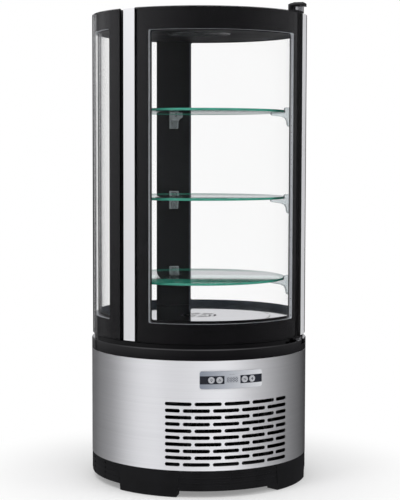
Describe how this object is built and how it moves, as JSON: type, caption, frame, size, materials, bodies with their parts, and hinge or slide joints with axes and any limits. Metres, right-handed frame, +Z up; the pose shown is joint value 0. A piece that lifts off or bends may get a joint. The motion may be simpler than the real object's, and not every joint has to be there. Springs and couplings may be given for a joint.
{
  "type": "display cabinet",
  "caption": "Round refrigerated display cabinet: curved glass door and panes with black borders, glass shelves on pillar brackets, and a slotted steel drum base with a control panel.",
  "frame": {"origin": "centre of the base, on the surface that the feet stand on", "axes": "+Z up, -Y towards the front, +X to the right as seen from the front"},
  "size_m": [0.482, 0.4885, 1.055],
  "materials": {
    "black_gloss": "gloss black",
    "black_matte": "matte black",
    "compressor_black": "black enamel",
    "galvanised": "plain galvanised sheet",
    "steel": "brushed",
    "panel_silver": "satin silver",
    "display": "smoked window",
    "button_grey": "pale grey",
    "liner_white": "white liner",
    "lamp_smoked": "smoked lens",
    "aluminium": "satin anodised",
    "condenser_black": "black coated fins",
    "chrome": "polished",
    "pane_glass": "clear",
    "rubber": "black",
    "shelf_glass": "clear with green edges",
    "bracket_clear": "translucent grey"
  },
  "bodies": {
    "cabinet": {"base_top_ring": "black_gloss", "roof_cap": "black_gloss", "top_hinge_bracket": "black_gloss", "bottom_hinge_bracket": "black_gloss", "plinth_ring": "black_gloss", "right_pane_spacer_frame": "black_gloss", "left_pane_spacer_frame": "black_gloss", "power_inlet": "black_matte", "controller_box": "black_matte", "evaporator_fan_motor": "black_matte", "condenser_fan_shroud": "black_matte", "condenser_fan_motor": "black_matte", "right_pillar": "black_matte", "rear_pillar": "black_matte", "left_pillar": "black_matte", "compressor": "compressor_black", "base_pan": "galvanised", "rear_service_cover": "galvanised", "steel_front_wrap": "steel", "cabin_floor": "steel", "control_panel_plate": "panel_silver", "display_window": "display", "insulated_tub": "liner_white", "ceiling_lamp": "lamp_smoked", "evaporator_coil": "aluminium", "right_pane_strip": "aluminium", "left_pane_strip": "aluminium", "condenser_coil": "condenser_black", "right_pane_outer_glass": "pane_glass", "right_pane_inner_glass": "pane_glass", "left_pane_outer_glass": "pane_glass", "left_pane_inner_glass": "pane_glass", "right_pane_seal": "rubber", "left_pane_seal": "rubber", "glass_shelf_1": "shelf_glass", "glass_shelf_2": "shelf_glass", "glass_shelf_3": "shelf_glass", "shelf_1_right_bracket": "bracket_clear", "shelf_1_rear_bracket": "bracket_clear", "shelf_1_left_bracket": "bracket_clear", "shelf_2_right_bracket": "bracket_clear", "shelf_2_rear_bracket": "bracket_clear", "shelf_2_left_bracket": "bracket_clear", "shelf_3_right_bracket": "bracket_clear", "shelf_3_rear_bracket": "bracket_clear", "shelf_3_left_bracket": "bracket_clear"},
    "door": {"front_door_outer_glass": "pane_glass", "front_door_inner_glass": "pane_glass", "front_door_spacer_frame": "black_gloss", "front_door_seal": "rubber", "door_handle_strip": "aluminium", "door_top_hinge_leaf": "chrome", "door_bottom_hinge_leaf": "chrome"},
    "button_1": {"control_button_1": "button_grey"},
    "button_2": {"control_button_2": "button_grey"},
    "button_3": {"control_button_3": "button_grey"},
    "button_4": {"control_button_4": "button_grey"},
    "condenser_fan": {"condenser_fan_rotor": "black_matte"},
    "evaporator_fan": {"evaporator_fan_rotor": "black_matte"}
  },
  "joints": [
    {"name": "door_hinge", "type": "hinge", "parent": "cabinet", "child": "door", "pos_m": [0.18411, -0.13278, 0.68], "axis": [0, 0, 1], "range_deg": [0, 100]},
    {"name": "button_1_press", "type": "slide", "parent": "cabinet", "child": "button_1", "axis": [0.211, 0.9775, 0], "range_m": [0, 0.0015], "stiffness_N_per_m": 400},
    {"name": "button_2_press", "type": "slide", "parent": "cabinet", "child": "button_2", "axis": [0.1401, 0.9901, 0], "range_m": [0, 0.0015], "stiffness_N_per_m": 400},
    {"name": "button_3_press", "type": "slide", "parent": "cabinet", "child": "button_3", "axis": [-0.0881, 0.9961, 0], "range_m": [0, 0.0015], "stiffness_N_per_m": 400},
    {"name": "button_4_press", "type": "slide", "parent": "cabinet", "child": "button_4", "axis": [-0.1596, 0.9872, 0], "range_m": [0, 0.0015], "stiffness_N_per_m": 400},
    {"name": "condenser_fan_spin", "type": "hinge", "parent": "cabinet", "child": "condenser_fan", "pos_m": [0, -0.1602, 0.1296], "axis": [0, 1, 0], "continuous": true},
    {"name": "evaporator_fan_spin", "type": "hinge", "parent": "cabinet", "child": "evaporator_fan", "pos_m": [0, 0, 0.309], "axis": [0, 0, 1], "continuous": true}
  ]
}
